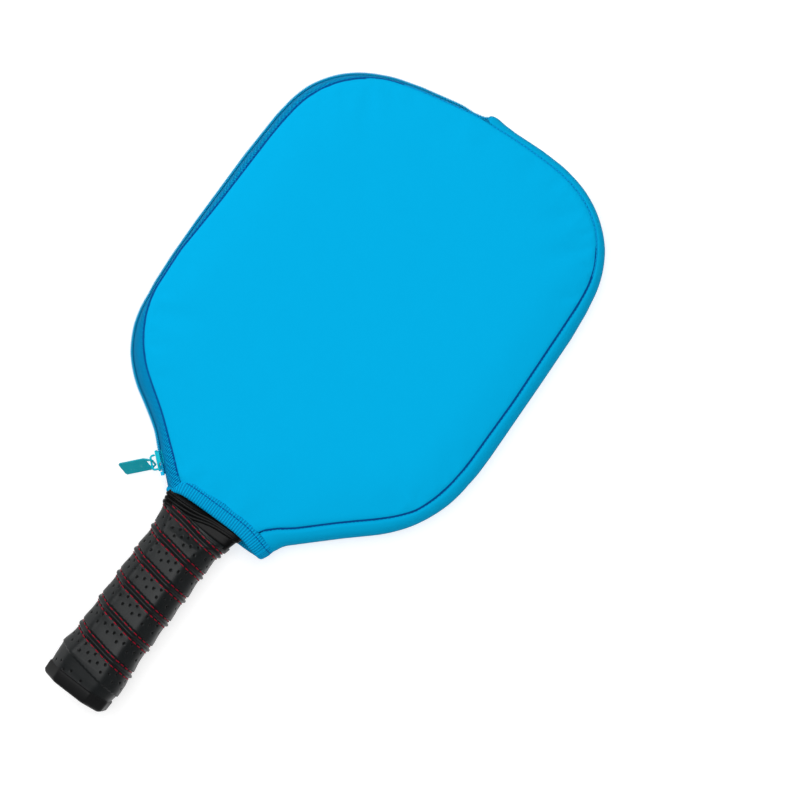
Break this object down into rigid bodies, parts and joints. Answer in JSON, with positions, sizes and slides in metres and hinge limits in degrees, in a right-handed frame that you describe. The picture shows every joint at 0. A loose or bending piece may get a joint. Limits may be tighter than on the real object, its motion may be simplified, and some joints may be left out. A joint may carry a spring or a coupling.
{
  "type": "paddle case",
  "caption": "Zipped neoprene head cover on a flat paddle: side zip, folding front flap, sewn side gusset, and the wrapped grip left bare below the bound neck.",
  "frame": {"origin": "on the outer face of the back panel, at the middle of the head's width and the middle of its length", "axes": "+X across the head to the sewn side, +Y from the grip's end to the top of the head, +Z out of the back panel towards the front flap"},
  "size_m": [0.2115, 0.3994, 0.0384],
  "materials": {
    "neoprene": "knitted blue jersey over foam, matt",
    "neck_binding": "ribbed elastic binding, matt",
    "gusset_cloth": "blue cloth band with a darker rim",
    "zip_tape": "twill tape",
    "zip_coil": "fine nylon coil",
    "stop_metal": "crimped stop, painted",
    "slider_paint": "cyan enamel on zinc",
    "pull_paint": "teal enamel, bright at the edges",
    "honeycomb_core": "polymer honeycomb",
    "face_sheet": "fibre composite, satin",
    "guard_plastic": "moulded edge guard",
    "pallet_foam": "rigid foam",
    "grip_leather": "perforated synthetic leather, semi-gloss",
    "collar_rubber": "shiny moulded rubber",
    "cap_rubber": "moulded end cap, satin"
  },
  "bodies": {
    "case": {"back_panel": "neoprene", "front_pocket": "neoprene", "side_gusset": "gusset_cloth", "neck_binding_back": "neck_binding", "back_zip_tape": "zip_tape", "back_zip_coil": "zip_coil", "back_tape_lower": "zip_tape", "back_coil_lower": "zip_coil", "zip_end_stop": "stop_metal", "back_top_stop": "stop_metal"},
    "flap": {"front_flap": "neoprene", "neck_binding_front": "neck_binding", "front_zip_tape": "zip_tape", "front_zip_coil": "zip_coil", "front_tape_lower": "zip_tape", "front_coil_lower": "zip_coil", "front_top_stop": "stop_metal"},
    "slider": {"zip_slider": "slider_paint"},
    "pull": {"pull_tab": "pull_paint"},
    "paddle": {"paddle_core": "honeycomb_core", "face_sheet_front": "face_sheet", "face_sheet_back": "face_sheet", "edge_guard": "guard_plastic", "handle_pallet_front": "pallet_foam", "handle_pallet_back": "pallet_foam", "grip_wrap": "grip_leather", "grip_rib": "grip_leather", "throat_collar": "collar_rubber", "butt_cap": "cap_rubber"}
  },
  "joints": [
    {"name": "flap_open", "type": "hinge", "parent": "case", "child": "flap", "pos_m": [0.0395, -0.134, 0.026], "axis": [-0.1701, 0.9854, 0], "range_deg": [0, 150]},
    {"name": "slider_travel", "type": "hinge", "parent": "case", "child": "slider", "pos_m": [-0.18866, -0.29581, 0.013], "axis": [0, 0, 1], "range_deg": [0, 7.5], "deforming": ["front_tape_lower", "front_coil_lower", "back_tape_lower", "back_coil_lower"]},
    {"name": "pull_swing", "type": "hinge", "parent": "slider", "child": "pull", "pos_m": [-0.04442, -0.13597, 0.013], "axis": [-0.7443, 0.6679, 0], "range_deg": [-50, 130]},
    {"name": "paddle_shift", "type": "slide", "parent": "case", "child": "paddle", "axis": [0, 1, 0], "range_m": [-0.0015, 0.001]}
  ]
}
